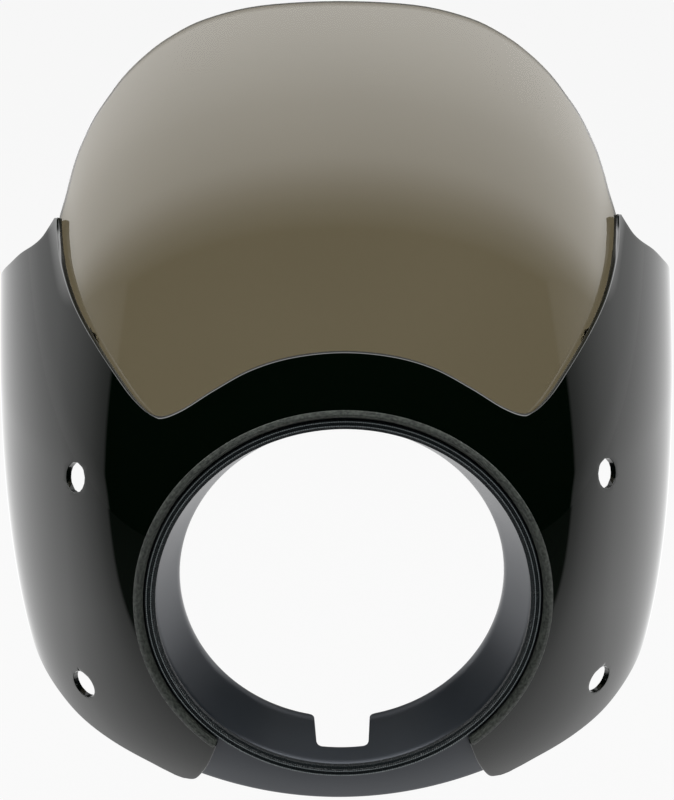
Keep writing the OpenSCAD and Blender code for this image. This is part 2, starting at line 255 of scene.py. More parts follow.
def glossBlackAbs():
    # injection moulded ABS, clear over black: near black body, mirror gloss with a faint orange peel
    look = {"body": "#030904", "ior": 1.6, "peelMm": 9.0, "peelDepthMm": 0.012, "peelStrength": 0.12,
            "hazeMm": 45.0, "sheen": (0.012, 0.035)}
    material, tree, shader = newMaterial("gloss black ABS")
    coord = addNode(tree, "ShaderNodeTexCoord")
    peel = addNode(tree, "ShaderNodeTexNoise", inputs={"Scale": metre / look["peelMm"], "Detail": 1.0},
                   links={"Vector": coord.outputs["Object"]})
    bump = addNode(tree, "ShaderNodeBump",
                   inputs={"Strength": look["peelStrength"], "Distance": look["peelDepthMm"] * mm},
                   links={"Height": peel.outputs["Fac"]})
    haze = addNode(tree, "ShaderNodeTexNoise", inputs={"Scale": metre / look["hazeMm"], "Detail": 3.0},
                   links={"Vector": coord.outputs["Object"]})
    rough = addNode(tree, "ShaderNodeMapRange",
                    inputs={"To Min": look["sheen"][0], "To Max": look["sheen"][1]},
                    links={"Value": haze.outputs["Fac"]})
    shader.inputs["Base Color"].default_value = toLinear(look["body"])
    shader.inputs["IOR"].default_value = look["ior"]
    tree.links.new(rough.outputs[0], shader.inputs["Roughness"])
    tree.links.new(bump.outputs[0], shader.inputs["Normal"])
    return material


def smokedAcrylic():
    # cast acrylic sheet with a brown grey smoke: clear, polished, darkens what is behind it
    look = {"smoke": ("#655d49", "#6a624e"), "ior": 1.49, "waveMm": 60.0, "waveDepthMm": 0.02,
            "waveStrength": 0.05}
    material, tree, shader = newMaterial("smoked acrylic")
    coord = addNode(tree, "ShaderNodeTexCoord")
    wave = addNode(tree, "ShaderNodeTexNoise", inputs={"Scale": metre / look["waveMm"], "Detail": 0.0},
                   links={"Vector": coord.outputs["Object"]})
    bump = addNode(tree, "ShaderNodeBump",
                   inputs={"Strength": look["waveStrength"], "Distance": look["waveDepthMm"] * mm},
                   links={"Height": wave.outputs["Fac"]})
    tint = addNode(tree, "ShaderNodeMixRGB",
                   inputs={"Color1": toLinear(look["smoke"][0]), "Color2": toLinear(look["smoke"][1])},
                   links={"Fac": wave.outputs["Fac"]})
    tree.links.new(tint.outputs[0], shader.inputs["Base Color"])
    shader.inputs["IOR"].default_value = look["ior"]
    shader.inputs["Roughness"].default_value = 0.0
    shader.inputs["Transmission Weight"].default_value = 1.0
    tree.links.new(bump.outputs[0], shader.inputs["Normal"])
    return material


def grainedRubber(name, colour, grainMm, depthMm, roughness, ribs=0, highlightRadii=()):
    # extruded EPDM with a moulded leather-like grain: matt, dark grey, sparkles a little on the grain
    look = {"cloudGrains": 2.5, "bumpStrength": 0.9, "speckle": (0.36, 0.64), "ribLift": 0.5, "highlightMm": 0.22,
            "highlightSwing": 0.4, "highlightLevel": 0.6, "roughSpread": 0.08}
    material, tree, shader = newMaterial(name)
    coord = addNode(tree, "ShaderNodeTexCoord")
    cells = addNode(tree, "ShaderNodeTexVoronoi", {"feature": "SMOOTH_F1"}, {"Scale": metre / grainMm},
                    {"Vector": coord.outputs["Object"]})
    cloud = addNode(tree, "ShaderNodeTexNoise",
                    inputs={"Scale": metre / (grainMm * look["cloudGrains"]), "Detail": 5.0},
                    links={"Vector": coord.outputs["Object"]})
    height = cells.outputs["Distance"]
    if ribs:
        # fine ribs across the bead, counted round the headlight's axis
        split = addNode(tree, "ShaderNodeSeparateXYZ", links={0: coord.outputs["Object"]})
        turn = addNode(tree, "ShaderNodeMath", {"operation": "ARCTAN2"},
                       links={0: split.outputs["Z"], 1: split.outputs["X"]})
        count = addNode(tree, "ShaderNodeMath", {"operation": "MULTIPLY"}, {1: float(ribs)},
                        {0: turn.outputs[0]})
        wave = addNode(tree, "ShaderNodeMath", {"operation": "SINE"}, links={0: count.outputs[0]})
        height = addNode(tree, "ShaderNodeMath", {"operation": "MULTIPLY_ADD"}, {1: look["ribLift"]},
                         {0: wave.outputs[0], 2: height}).outputs[0]
    bump = addNode(tree, "ShaderNodeBump",
                   inputs={"Strength": look["bumpStrength"], "Distance": depthMm * mm},
                   links={"Height": height})
    speckle = addNode(tree, "ShaderNodeMapRange",
                      inputs={"From Min": look["speckle"][0], "From Max": look["speckle"][1]},
                      links={"Value": cloud.outputs["Fac"]})
    shown = speckle.outputs[0]
    if highlightRadii:
        # painted highlight: the bead is paler along its two crests, dotted by the ribs, at the given
        # distances from the headlight's axis in mm
        flatten = addNode(tree, "ShaderNodeVectorMath", {"operation": "MULTIPLY"}, {1: (1, 0, 1)},
                          {0: coord.outputs["Object"]})
        reach = addNode(tree, "ShaderNodeVectorMath", {"operation": "LENGTH"}, links={0: flatten.outputs[0]})
        near = [addNode(tree, "ShaderNodeMath", {"operation": "COMPARE"},
                        {1: r * mm, 2: look["highlightMm"] * mm},
                        {0: reach.outputs["Value"]}).outputs[0] for r in highlightRadii]
        both = addNode(tree, "ShaderNodeMath", {"operation": "ADD"}, links={0: near[0], 1: near[1]})
        lit = addNode(tree, "ShaderNodeMath", {"operation": "MULTIPLY_ADD"},
                      {1: look["highlightSwing"], 2: look["highlightLevel"]}, {0: wave.outputs[0]})
        shown = addNode(tree, "ShaderNodeMath", {"operation": "MULTIPLY"},
                        links={0: both.outputs[0], 1: lit.outputs[0]}).outputs[0]
    shade = addNode(tree, "ShaderNodeMixRGB",
                    inputs={"Color1": toLinear(colour[0]), "Color2": toLinear(colour[1])},
                    links={"Fac": shown})
    spread = look["roughSpread"]
    rough = addNode(tree, "ShaderNodeMapRange",
                    inputs={"To Min": roughness - spread, "To Max": roughness + spread},
                    links={"Value": cells.outputs["Distance"]})
    tree.links.new(shade.outputs[0], shader.inputs["Base Color"])
    tree.links.new(rough.outputs[0], shader.inputs["Roughness"])
    tree.links.new(bump.outputs[0], shader.inputs["Normal"])
    return material


def satinBlackAbs():
    # spark eroded mould finish on black ABS: satin, pale at a grazing view, a very fine even texture
    look = {"body": ("#22272c", "#272c31"), "ior": 1.55, "sheenTint": (0.86, 0.9, 1.0, 1.0), "grainMm": 0.9,
            "depthMm": 0.02, "bumpStrength": 0.35, "cloudMm": 30.0, "roughness": 0.32, "smoother": 0.04,
            "rougher": 0.05}
    material, tree, shader = newMaterial("satin black ABS")
    coord = addNode(tree, "ShaderNodeTexCoord")
    grain = addNode(tree, "ShaderNodeTexNoise", inputs={"Scale": metre / look["grainMm"], "Detail": 2.0},
                    links={"Vector": coord.outputs["Object"]})
    cloud = addNode(tree, "ShaderNodeTexNoise", inputs={"Scale": metre / look["cloudMm"], "Detail": 3.0},
                    links={"Vector": coord.outputs["Object"]})
    bump = addNode(tree, "ShaderNodeBump",
                   inputs={"Strength": look["bumpStrength"], "Distance": look["depthMm"] * mm},
                   links={"Height": grain.outputs["Fac"]})
    shade = addNode(tree, "ShaderNodeMixRGB",
                    inputs={"Color1": toLinear(look["body"][0]), "Color2": toLinear(look["body"][1])},
                    links={"Fac": cloud.outputs["Fac"]})
    roughness = look["roughness"]
    rough = addNode(tree, "ShaderNodeMapRange",
                    inputs={"To Min": roughness - look["smoother"], "To Max": roughness + look["rougher"]},
                    links={"Value": cloud.outputs["Fac"]})
    tree.links.new(shade.outputs[0], shader.inputs["Base Color"])
    tree.links.new(rough.outputs[0], shader.inputs["Roughness"])
    tree.links.new(bump.outputs[0], shader.inputs["Normal"])
    shader.inputs["IOR"].default_value = look["ior"]
    shader.inputs["Specular Tint"].default_value = look["sheenTint"]
    return material


def zincPlate():
    # cold headed steel, zinc plated: pale metal, slightly mottled
    look = {"plate": ("#b7b9bb", "#cfd0cf"), "mottleMm": 2.0, "depthMm": 0.01, "bumpStrength": 0.2,
            "roughness": (0.22, 0.42)}
    material, tree, shader = newMaterial("zinc plated steel")
    coord = addNode(tree, "ShaderNodeTexCoord")
    mottle = addNode(tree, "ShaderNodeTexNoise", inputs={"Scale": metre / look["mottleMm"], "Detail": 4.0},
                     links={"Vector": coord.outputs["Object"]})
    shade = addNode(tree, "ShaderNodeMixRGB",
                    inputs={"Color1": toLinear(look["plate"][0]), "Color2": toLinear(look["plate"][1])},
                    links={"Fac": mottle.outputs["Fac"]})
    rough = addNode(tree, "ShaderNodeMapRange",
                    inputs={"To Min": look["roughness"][0], "To Max": look["roughness"][1]},
                    links={"Value": mottle.outputs["Fac"]})
    bump = addNode(tree, "ShaderNodeBump",
                   inputs={"Strength": look["bumpStrength"], "Distance": look["depthMm"] * mm},
                   links={"Height": mottle.outputs["Fac"]})
    tree.links.new(shade.outputs[0], shader.inputs["Base Color"])
    tree.links.new(rough.outputs[0], shader.inputs["Roughness"])
    tree.links.new(bump.outputs[0], shader.inputs["Normal"])
    shader.inputs["Metallic"].default_value = 1.0
    return material


blackAbs = glossBlackAbs()
acrylic = smokedAcrylic()
trimRubber = grainedRubber("grained EPDM rubber", ("#2c302d", "#50554f"),
                           grainMm=0.6, depthMm=0.22, roughness=0.5)
stripRubber = grainedRubber("plain EPDM rubber", ("#161616", "#1c1c1c"),
                            grainMm=0.4, depthMm=0.03, roughness=0.7)
satinAbs = satinBlackAbs()
zinc = zincPlate()
print("materials made")


# the shell
shell = {
    "windowEdge": [(-7.5, 108.3), (0, 110.4), (7.5, 108.3), (14, 102.8), (20, 93.9), (25.6, 84.4),
                   (29.9, 79.8), (33.6, 82.8), (37.9, 90.6), (42.9, 100.1), (47.4, 109.9), (50.5, 120.9),
                   (51.6, 130.2), (52, 137.3)],
    "legEnd": [(33.4, -93.2), (30.9, -92.4), (28.7, -87.6), (26.6, -80.9), (25, -74.1)],
    "outerEdge": [(35.6, -92.1), (38.4, -89.7), (42, -86.6), (51, -80.3), (60, -73.3), (67.5, -65.3),
                  (77, -55.1), (86, -40.9), (92, -24), (95, -4.4), (96.5, 16), (97, 33.8), (96.5, 50.7),
                  (92, 70.2), (84.5, 87.1), (77.5, 96.9), (71, 105.6), (65, 114.5), (60, 121.4),
                  (56.9, 126.6), (54.6, 132.1), (53, 136.4)],
    "openingR": 99, "legAngle": -51, "joinAngle": 26, "perStep": 8, "columns": 60,
    # steps along the opening and over to the window, and the window edge's point where they arrive
    "arcSteps": 7, "seamSteps": 2, "lowCorner": 6,
    "edgeRound": (0.4, 0.5), "windowRound": (1.8, 0.7), "clampRound": 0.25,
    "windowZone": {"z": 62, "u": 53, "r": 103},  # where an edge counts as the window's
    "marginMm": 2.6, "marginMost": 0.3,  # width of the first and last columns, and its largest share
    "bunchedU": (22, 44), "bunchedZ": (62, 118), "evenings": 60,
    "clampHoles": [(46.8, 44.2), (53.5, -52.4)], "clampHoleR": 7.5,
    "screenFix": [(0, 105.1), (23.4, 82.9), (45.4, 97.8)], "shroudFix": [78, 38, 4, -30], "fixR": 105.4,
    "spigotR": 3.5, "padR": 4.5, "screenSpigot": 3.75, "shroudSpigot": 6.15, "padH": 3.4,
    "sunk": 1.2, "spigotSides": 32,  # how far pads and spigots start inside the wall
}
windowEdge, legEnd, outerEdge = (drawn(shell[k]) for k in ("windowEdge", "legEnd", "outerEdge"))
screenFix = drawn(shell["screenFix"])
shroudFix = [polar(shell["fixR"], a) for a in shell["shroudFix"]]


def bothSides(places):
    return [(s * u, z) for u, z in places for s in ((1, -1) if u > 1 else (1,))]


def innerLine(t):
    # up the leg's end, along the opening, over to the window's low corner and up the window edge
    legs, arc, seam, low = len(legEnd), shell["arcSteps"], shell["seamSteps"], shell["lowCorner"]
    if t < legs:
        return along(legEnd + [polar(shell["openingR"], shell["legAngle"])], t)
    if t <= legs + arc:
        return polar(shell["openingR"], shell["legAngle"]
                     + (shell["joinAngle"] - shell["legAngle"]) * (t - legs) / arc)
    if t <= legs + arc + seam:
        return mix(polar(shell["openingR"], shell["joinAngle"]), windowEdge[low], (t - legs - arc) / seam)
    return along(windowEdge, t - legs - (arc + seam - low))


def holeField(places, radius, nearU=8, nearZ=16):
    # how far a place lies outside the nearest hole, worked out only within nearU degrees and nearZ mm
    spots = [(skinPoint(u, z), skinNormal(u, z), u, z) for u, z in places]

    def field(u, z):
        best = 1.0
        for centre, normal, cu, cz in spots:
            if abs(u - cu) < nearU and abs(z - cz) < nearZ:
                d = skinPoint(u, z) - centre
                best = min(best, (d - normal * d.dot(normal)).length - radius)
        return best
    return field


def makeShell():
    n = shell["perStep"]
    rows = len(outerEdge) - 1
    bm = bmesh.new()
    for side in (1, -1):
        def cheek(s, t, side=side):
            t *= rows
            near, far = innerLine(t), along(outerEdge, t)
            # the first and last columns leave room for the rounded edges
            width = (skinPoint(*near) - skinPoint(*far)).length
            margin = min(shell["marginMm"] / width, shell["marginMost"])
            k = s * shell["columns"]
            if 0.5 < k < shell["columns"] - 0.5:
                s = margin + (1 - 2 * margin) * (k - 1) / (shell["columns"] - 2)
            u, z = mix(near, far, s)
            return side * u, z
        flatGrid(bm, shell["columns"], rows * n, cheek)

    def rounding(u, z):
        # the window edge is rounded over more than the rest
        zone = shell["windowZone"]
        fromAxis = math.hypot(halfWidth(z) * math.sin(math.radians(u)), z)
        atWindow = z > zone["z"] and abs(u) < zone["u"] and fromAxis > zone["r"]
        return shell["windowRound"] if atWindow else shell["edgeRound"]

    half = shell["lowCorner"] - 1

    def bridge(s, t):
        t = (t * 2 - 1) * half
        a = abs(t)
        low = polar(shell["openingR"], 90 + (shell["joinAngle"] - 90) * a / half)
        u, z = mix(low, along(windowEdge, a + 1), s)
        return (u if t >= 0 else -u), z
    flatGrid(bm, shell["seamSteps"] * n, 2 * half * n, bridge)
    bmesh.ops.remove_doubles(bm, verts=bm.verts, dist=1e-4)
    bmesh.ops.recalc_face_normals(bm, faces=bm.faces)
    # evens out the rows that bunch up at the window's low corner
    (lowU, highU), (lowZ, highZ) = shell["bunchedU"], shell["bunchedZ"]
    bunched = [v for v in bm.verts
               if not v.is_boundary and lowU < abs(v.co.x) < highU and lowZ < v.co.y < highZ]
    for _ in range(shell["evenings"]):
        bmesh.ops.smooth_vert(bm, verts=bunched, factor=0.5, use_axis_x=True, use_axis_y=True)
    cut = set()
    clampPlaces = bothSides(drawn(shell["clampHoles"]))
    trimSheet(bm, holeField(clampPlaces, shell["clampHoleR"] + shell["clampRound"]), cut)
    giveWall(bm, skinPlace, skin["wall"], rounding, cut, shell["clampRound"])
    # moulded spigots on the back
    for places, base, top in ((bothSides(screenFix), 0, shell["screenSpigot"]),
                              (bothSides(shroudFix), shell["padH"], shell["shroudSpigot"])):
        for u, z in places:
            normal = skinNormal(u, z)
            turn = normal.to_track_quat("Z", "Y").to_matrix().to_4x4()
            for radius, reach in ((shell["padR"], base), (shell["spigotR"], top)):
                if reach:
                    length = (reach + shell["sunk"]) * mm
                    made = bmesh.ops.create_cone(bm, cap_ends=True, segments=shell["spigotSides"],
                                                 radius1=radius * mm, radius2=radius * mm,
                                                 depth=length)["verts"]
                    bmesh.ops.transform(bm, matrix=turn, verts=made)
                    middle = skinPlace(u, z, skin["wall"] + (reach - shell["sunk"]) / 2)
                    bmesh.ops.translate(bm, vec=middle, verts=made)
    bmesh.ops.recalc_face_normals(bm, faces=bm.faces)
    return finishPiece("fairing_shell_visual", bm, blackAbs, ["fairing_shell"])


makeShell()

# the windshield
screen = {
    "low": [(-9, 97.3), (0, 100), (9, 97.3), (16, 90.4), (21.3, 81.3), (25.3, 73.3), (29.6, 69.3),
            (34.5, 70.6), (39, 78), (43.1, 85.8), (47.3, 94.7), (51, 104.5), (53.4, 114.7), (54.3, 121.8),
            (54.5, 126.6)],
    "high": [(-12.5, 97.6), (0, 100), (12.5, 97.6), (22.1, 90.8), (29, 81.8), (34, 72.8), (38, 64),
             (41.3, 55.1), (44.3, 46.5), (46.7, 38), (48.8, 29.5), (50.3, 21.4), (51.6, 13.2), (53, 5.9),
             (54, 0)],
    "tip": 133.3, "top": 261, "thickness": 3, "stripT": 1, "edgeRound": 0.6, "holeR": 3.65,
    "perStep": 5, "rows": 60,
}


def makeScreen():
    low = drawn(screen["low"])
    tip = screen["tip"] * skin["lapR"] / 100
    count = len(low) - 2
    bm = bmesh.new()

    def place(s, t):
        a = (s * 2 - 1) * count
        u, share = along(screen["high"], abs(a) + 1)
        u, z = mix(along(low, abs(a) + 1), (u, tip + (screen["top"] - tip) * share / 100), t)
        return (u if a >= 0 else -u), z
    flatGrid(bm, 2 * count * screen["perStep"], screen["rows"], place)
    bmesh.ops.recalc_face_normals(bm, faces=bm.faces)
    cut = set()
    trimSheet(bm, holeField(bothSides(screenFix), screen["holeR"] + screen["edgeRound"]), cut)
    depth = skin["wall"] + screen["stripT"]
    giveWall(bm, lambda u, z, d: skinPlace(u, z, depth + d), screen["thickness"],
             lambda u, z: (screen["edgeRound"],) * 2, cut, screen["edgeRound"])
    bmesh.ops.recalc_face_normals(bm, faces=bm.faces)
    return finishPiece("windshield_visual", bm, acrylic, ["windshield"])


makeScreen()

# rubber channel on the shell's opening
channel = {"lip": 1.9, "lipT": 0.88, "web": 1.1, "gap": 0.05, "stations": 300, "around": 56, "endGap": 0.6,
           "round": [0.15, 0.9, 1.1, 1.1, 0.6, 0.15, 0.1, 0.1], "endInset": 0.25, "endCrown": 0.2}
cornerSteps = 6


def edgeFrame(a):
    u, z = polar(shell["openingR"], a)
    normal = skinNormal(u, z)
    nearer, farther = (skinPoint(*polar(shell["openingR"] + d, a)) for d in (-0.5, 0.5))
    out = farther - nearer
    out -= normal * out.dot(normal)
    return skinPoint(u, z), out.normalized(), normal


def roundedLoop(corners, radius, count):
    # points spread evenly round a polygon whose corners are rounded
    n = len(corners)
    pieces = []
    for i in range(n):
        a, b, c = (Vector(corners[(i + k) % n]) for k in (-1, 0, 1))
        r = min(radius[i], (a - b).length * 0.49, (c - b).length * 0.49)
        p, q = b + (a - b).normalized() * r, b + (c - b).normalized() * r
        steps = [k / cornerSteps for k in range(cornerSteps + 1)]
        pieces += [p * (1 - s) ** 2 + b * 2 * s * (1 - s) + q * s * s for s in steps]
    lengths = [0]
    for i in range(len(pieces)):
        lengths.append(lengths[-1] + (pieces[(i + 1) % len(pieces)] - pieces[i]).length)
    points = []
    for k in range(count):
        want = lengths[-1] * k / count
        i = max(j for j in range(len(pieces)) if lengths[j] <= want)
        span = lengths[i + 1] - lengths[i]
        s = (want - lengths[i]) / span if span else 0
        points.append(pieces[i].lerp(pieces[(i + 1) % len(pieces)], s))
    return points


def makeTrim():
    w, t, g = skin["wall"], channel["lipT"], channel["gap"]
    lip, web = channel["lip"], channel["web"]
    corners = [(lip, g), (lip, t), (-web, t), (-web, -w - t), (lip, -w - t), (lip, -w - g),
               (-g, -w - g), (-g, g)]
    outline = roundedLoop(corners, channel["round"], channel["around"])
    bm = bmesh.new()
    start, stop = shell["legAngle"] + channel["endGap"], 180 - shell["legAngle"] - channel["endGap"]
    flatGrid(bm, channel["stations"], channel["around"], lambda s, q: (s, q))
    for v in bm.verts:
        f, out, normal = edgeFrame(start + (stop - start) * v.co.x)
        x, y = outline[round(v.co.y * channel["around"]) % channel["around"]]
        v.co = (f + out * x + normal * y) * mm
    bmesh.ops.remove_doubles(bm, verts=bm.verts, dist=1e-7)
    ends = bmesh.ops.holes_fill(bm, edges=[e for e in bm.edges if e.is_boundary], sides=0)["faces"]
    bmesh.ops.inset_individual(bm, faces=ends, thickness=channel["endInset"] * mm,
                               depth=channel["endCrown"] * mm)
    bmesh.ops.recalc_face_normals(bm, faces=bm.faces)
    return finishPiece("opening_trim_visual", bm, trimRubber, ["opening_trim"])


makeTrim()

# headlight shroud: collar, tapered sleeve, fold under the bead, flange and chin
shroud = {
    "boreR": 79.5, "collar": 3.5, "collarBlend": 2, "sleeveR": 90.2, "sleeveF": 26.3, "foldR": 92.8,
    "foldF": 30.6, "flangeStart": 96.4, "flangeIn": 6.4, "flangeR": 110.4, "chinZ": 118.2, "chinBow": 0.71,
    "chinA": 35, "chinBlend": 17, "thickness": 3, "edgeRound": 0.8, "cutRound": 0.3, "holeR": 3.65,
    "notchW": 28, "notchNarrow": 0.91, "notchL": 18.5, "notchRound": 2.6,
    # the profile runs from 0 to 1: sleeve, fold and flange, with where each starts and how much it takes
    "spare": 1.6, "foldAt": 0.5, "foldSpan": 0.2, "flangeAt": 0.7, "flangeSpan": 0.3,
    "notchTo": 0.49, "backTo": 0.4, "holesFrom": 0.72,
    "around": 360, "alongProfile": 46, "seamAt": -270,
}


def flangeEdge(a):
    away = abs((a + 90 + 180) % 360 - 180)

    def chin(d):
        return shroud["chinZ"] / math.cos(math.radians(d * shroud["chinBow"]))
    if away < shroud["chinA"]:
        return chin(away)
    s = min((away - shroud["chinA"]) / shroud["chinBlend"], 1)
    return chin(shroud["chinA"]) + (shroud["flangeR"] - chin(shroud["chinA"])) * s * s * (3 - 2 * s)


def flangeAt(r, a, depth):
    u, z = polar(r, a)
    return skinPoint(u, z) - skinNormal(u, z) * depth


def shroudFront(a, s):
    # s runs from the collar's back, over the fold, to the flange's edge
    rad = math.radians(a)
    away = Vector((math.cos(rad), 0, math.sin(rad)))
    if s < shroud["foldAt"]:
        f = -shroud["spare"] + s / shroud["foldAt"] * (shroud["sleeveF"] + shroud["spare"])
        # the collar flows into the sleeve over a short blend
        blend, past = shroud["collarBlend"], f - shroud["collar"]
        past = max(past, 0) if abs(past) > blend else (past + blend) ** 2 / (4 * blend)
        r = shroud["boreR"]
        r += (shroud["sleeveR"] - r) * past / (shroud["sleeveF"] - shroud["collar"])
        return away * r + Vector((0, -f, 0))
    begin = away * shroud["sleeveR"] + Vector((0, -shroud["sleeveF"], 0))
    top = away * shroud["foldR"] + Vector((0, -shroud["foldF"], 0))
    end = flangeAt(shroud["flangeStart"], a, shroud["flangeIn"])
    if s < shroud["flangeAt"]:
        q = (s - shroud["foldAt"]) / shroud["foldSpan"]
        return begin * (1 - q) ** 2 + top * 2 * q * (1 - q) + end * q * q
    q = (s - shroud["flangeAt"]) / shroud["flangeSpan"]
    reach = shroud["flangeStart"] + (flangeEdge(a) - shroud["flangeStart"]) * q
    return flangeAt(reach, a, shroud["flangeIn"])


def shroudPlace(a, s, depth, stepA=0.4, stepS=0.006):
    p = shroudFront(a, s)
    across = shroudFront(a + stepA, s) - shroudFront(a - stepA, s)
    down = shroudFront(a, min(s + stepS, 1)) - shroudFront(a, max(s - stepS, 0))
    normal = across.cross(down).normalized()
    # across runs anticlockwise seen from the front, so the visible side points to the axis or the front
    onSleeve = s < shroud["foldAt"]
    if onSleeve and normal.dot(Vector((p.x, 0, p.z))) > 0 or not onSleeve and normal.y > 0:
        normal.negate()
    return (p - normal * depth) * mm


def notchField(a, s):
    # under zero behind the collar's back and inside the notch, with a rounded meeting of the two
    p = shroudFront(a, s)
    back = -p.y  # distance in front of the collar's back
    if p.z > 0 or s > shroud["notchTo"]:
        return back - shroud["cutRound"] if s < shroud["backTo"] else 1.0
    r = shroud["notchRound"]
    half = shroud["notchW"] / 2 * (1 - (1 - shroud["notchNarrow"]) * max(back, 0) / shroud["notchL"])
    grow = shroud["cutRound"]
    dx, dy = abs(p.x) - half - grow + r, back - shroud["notchL"] - grow + r
    box = math.hypot(max(dx, 0), max(dy, 0)) + min(max(dx, dy), 0) - r
    edge = back - grow
    h = min(max(0.5 + 0.5 * (edge - box) / r, 0), 1)
    return edge + (box - edge) * h - r * h * (1 - h)


def makeShroud():
    bm = bmesh.new()
    flatGrid(bm, shroud["around"], shroud["alongProfile"], lambda s, t: (s * 360 + shroud["seamAt"], t))
    cut = set()
    trimSheet(bm, notchField, cut)
    spots = [flangeAt(shell["fixR"], b, shroud["flangeIn"]) for a in shell["shroudFix"] for b in (a, 180 - a)]

    def fixField(a, s):
        if s < shroud["holesFrom"]:
            return 1.0
        p = shroudFront(a, s)
        return min((p - q).length for q in spots) - shroud["holeR"] - shroud["cutRound"]
    trimSheet(bm, fixField, cut)
    giveWall(bm, shroudPlace, shroud["thickness"], lambda a, s: (shroud["edgeRound"],) * 2, cut,
             shroud["cutRound"])
    bmesh.ops.recalc_face_normals(bm, faces=bm.faces)
    return finishPiece("headlight_shroud_visual", bm, satinAbs, ["headlight_shroud"])


makeShroud()

# bead on the shroud's lip
bead = {
    "outline": [(94.05, 29.8), (95.3, 29.8), (95.3, 32.1), (94.9, 32.5), (94.5, 32.5), (94.1, 31.5),
                (93.2, 31.5), (92.8, 32.45), (92.3, 32.45), (91.8, 31.5), (91.1, 31.3), (90.3, 31.2),
                (90.3, 28.4), (91.55, 28.4), (91.55, 31.05), (94.05, 31.05)],
    "round": [0.2, 0.5, 0.4, 0.3, 0.3, 0.3, 0.3, 0.3, 0.3, 0.3, 0.3, 0.6, 0.5, 0.1, 0.1, 0.1],
    "around": 96, "steps": 288,
}


def makeBead():
    bm = bmesh.new()
    ring = bmesh.ops.create_circle(bm, cap_ends=False, segments=bead["around"], radius=1)["verts"]
    for v, (x, f) in zip(ring, roundedLoop(bead["outline"], bead["round"], bead["around"])):
        v.co = (x * mm, -f * mm, 0)
    bmesh.ops.spin(bm, geom=ring + list(bm.edges), axis=(0, 1, 0), cent=(0, 0, 0), angle=2 * math.pi,
                   steps=bead["steps"], use_merge=True)
    bmesh.ops.recalc_face_normals(bm, faces=bm.faces)
    return finishPiece("shroud_trim_visual", bm, beadRubber, ["shroud_trim"])


# knurled bead: its pale second colour is a painted highlight along the two crests
beadRubber = grainedRubber("knurled bead rubber", ("#22282a", "#8d9698"),
                           grainMm=0.7, depthMm=0.3, roughness=0.25, ribs=560, highlightRadii=(94.7, 92.55))
makeBead()

# pieces kept from the frame
for node, material in (("windshield_strip", stripRubber), ("windshield_screws", zinc),
                       ("windshield_washers", zinc), ("shroud_screws", zinc), ("shroud_washers", zinc)):
    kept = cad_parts[node]
    kept.data.materials.clear()
    kept.data.materials.append(material)
print("kept nodes dressed")

# studio: white paper, a dark room in front of the object, a bright ceiling that starts overhead
studio = {
    "floorZ": -0.30, "halfFloor": 4.0, "worldLight": 0.5,
    "topLight": 14.0, "topSize": (1.6, 1.0), "topZ": 1.6,
    "paper": 0.86, "plainGlow": 0.86, "mirroredGlow": 0.95,  # the paper's white, and how much of it is glow
    # share of white that shiny surfaces see, by how far a direction points back from the dark room
    "room": [(-0.035, 0.0), (-0.015, 0.28), (0.03, 0.37), (0.09, 0.52), (0.2, 0.74), (0.35, 0.95),
             (0.6, 1.0)],
    "floorLean": -0.38, "floorGain": 1.45, "gainFrom": -0.4,
    # ceiling brightness by direction: y + lean * z
    "lean": 0.84, "ceiling": [(0.34, 0.0), (0.38, 0.7), (0.405, 1.4), (0.447, 3.0), (0.51, 4.1), (0.6, 6.8),
                              (0.7, 4.0), (0.85, 0.6), (1.31, 0.15)],
    "ceilingRise": 0.22, "darkAbove": (0.03, 0.2), "darkBehind": (0.6, 0.85),
}


def rayKinds(tree):
    # plain = seen by the camera or through the smoked sheet, mirrored = seen in a reflection
    path = addNode(tree, "ShaderNodeLightPath")
    through = path.outputs["Is Transmission Ray"]
    plain = addNode(tree, "ShaderNodeMath", {"operation": "MAXIMUM"},
                    links={0: path.outputs["Is Camera Ray"], 1: through})
    mirrored = addNode(tree, "ShaderNodeMath", {"operation": "SUBTRACT", "use_clamp": True},
                       links={0: path.outputs["Is Glossy Ray"], 1: through})
    return plain.outputs[0], mirrored.outputs[0]


def rampCurve(tree, points, source):
    # piecewise line through the points, read from a colour ramp
    low, high = points[0][0], points[-1][0]
    top = max(v for _, v in points)
    spread = addNode(tree, "ShaderNodeMapRange", inputs={"From Min": low, "From Max": high},
                     links={"Value": source})
    ramp = addNode(tree, "ShaderNodeValToRGB", links={"Fac": spread.outputs[0]})
    stops = ramp.color_ramp.elements
    for i, (x, v) in enumerate(points):
        at = (x - low) / (high - low)
        if i == 0:
            stop = stops[0]
        elif i == len(points) - 1:
            stop = stops[-1]
        else:
            stop = stops.new(at)
        stop.position = at
        stop.color = (v / top, v / top, v / top, 1)
    scaled = addNode(tree, "ShaderNodeMath", {"operation": "MULTIPLY"}, {1: top}, {0: ramp.outputs[0]})
    return scaled.outputs[0]


def chooseLevel(tree, pairs, otherwise):
    # adds up kind * level over the kinds of ray, and the rest sees the last value
    total, rest = None, None
    for kind, level in pairs:
        part = addNode(tree, "ShaderNodeMath", {"operation": "MULTIPLY"}, {1: 1.0}, {0: kind})
        if isinstance(level, float):
            part.inputs[1].default_value = level
        else:
            tree.links.new(level, part.inputs[1])
        left = addNode(tree, "ShaderNodeMath", {"operation": "SUBTRACT", "use_clamp": True},
                       {0: 1.0}, {1: kind})
        total = part.outputs[0] if total is None else addNode(
            tree, "ShaderNodeMath", {"operation": "ADD"}, links={0: total, 1: part.outputs[0]}).outputs[0]
        rest = left.outputs[0] if rest is None else addNode(
            tree, "ShaderNodeMath", {"operation": "MULTIPLY"}, links={0: rest, 1: left.outputs[0]}).outputs[0]
    return addNode(tree, "ShaderNodeMath", {"operation": "MULTIPLY_ADD"}, {1: otherwise},
                   {0: rest, 2: total}).outputs[0]


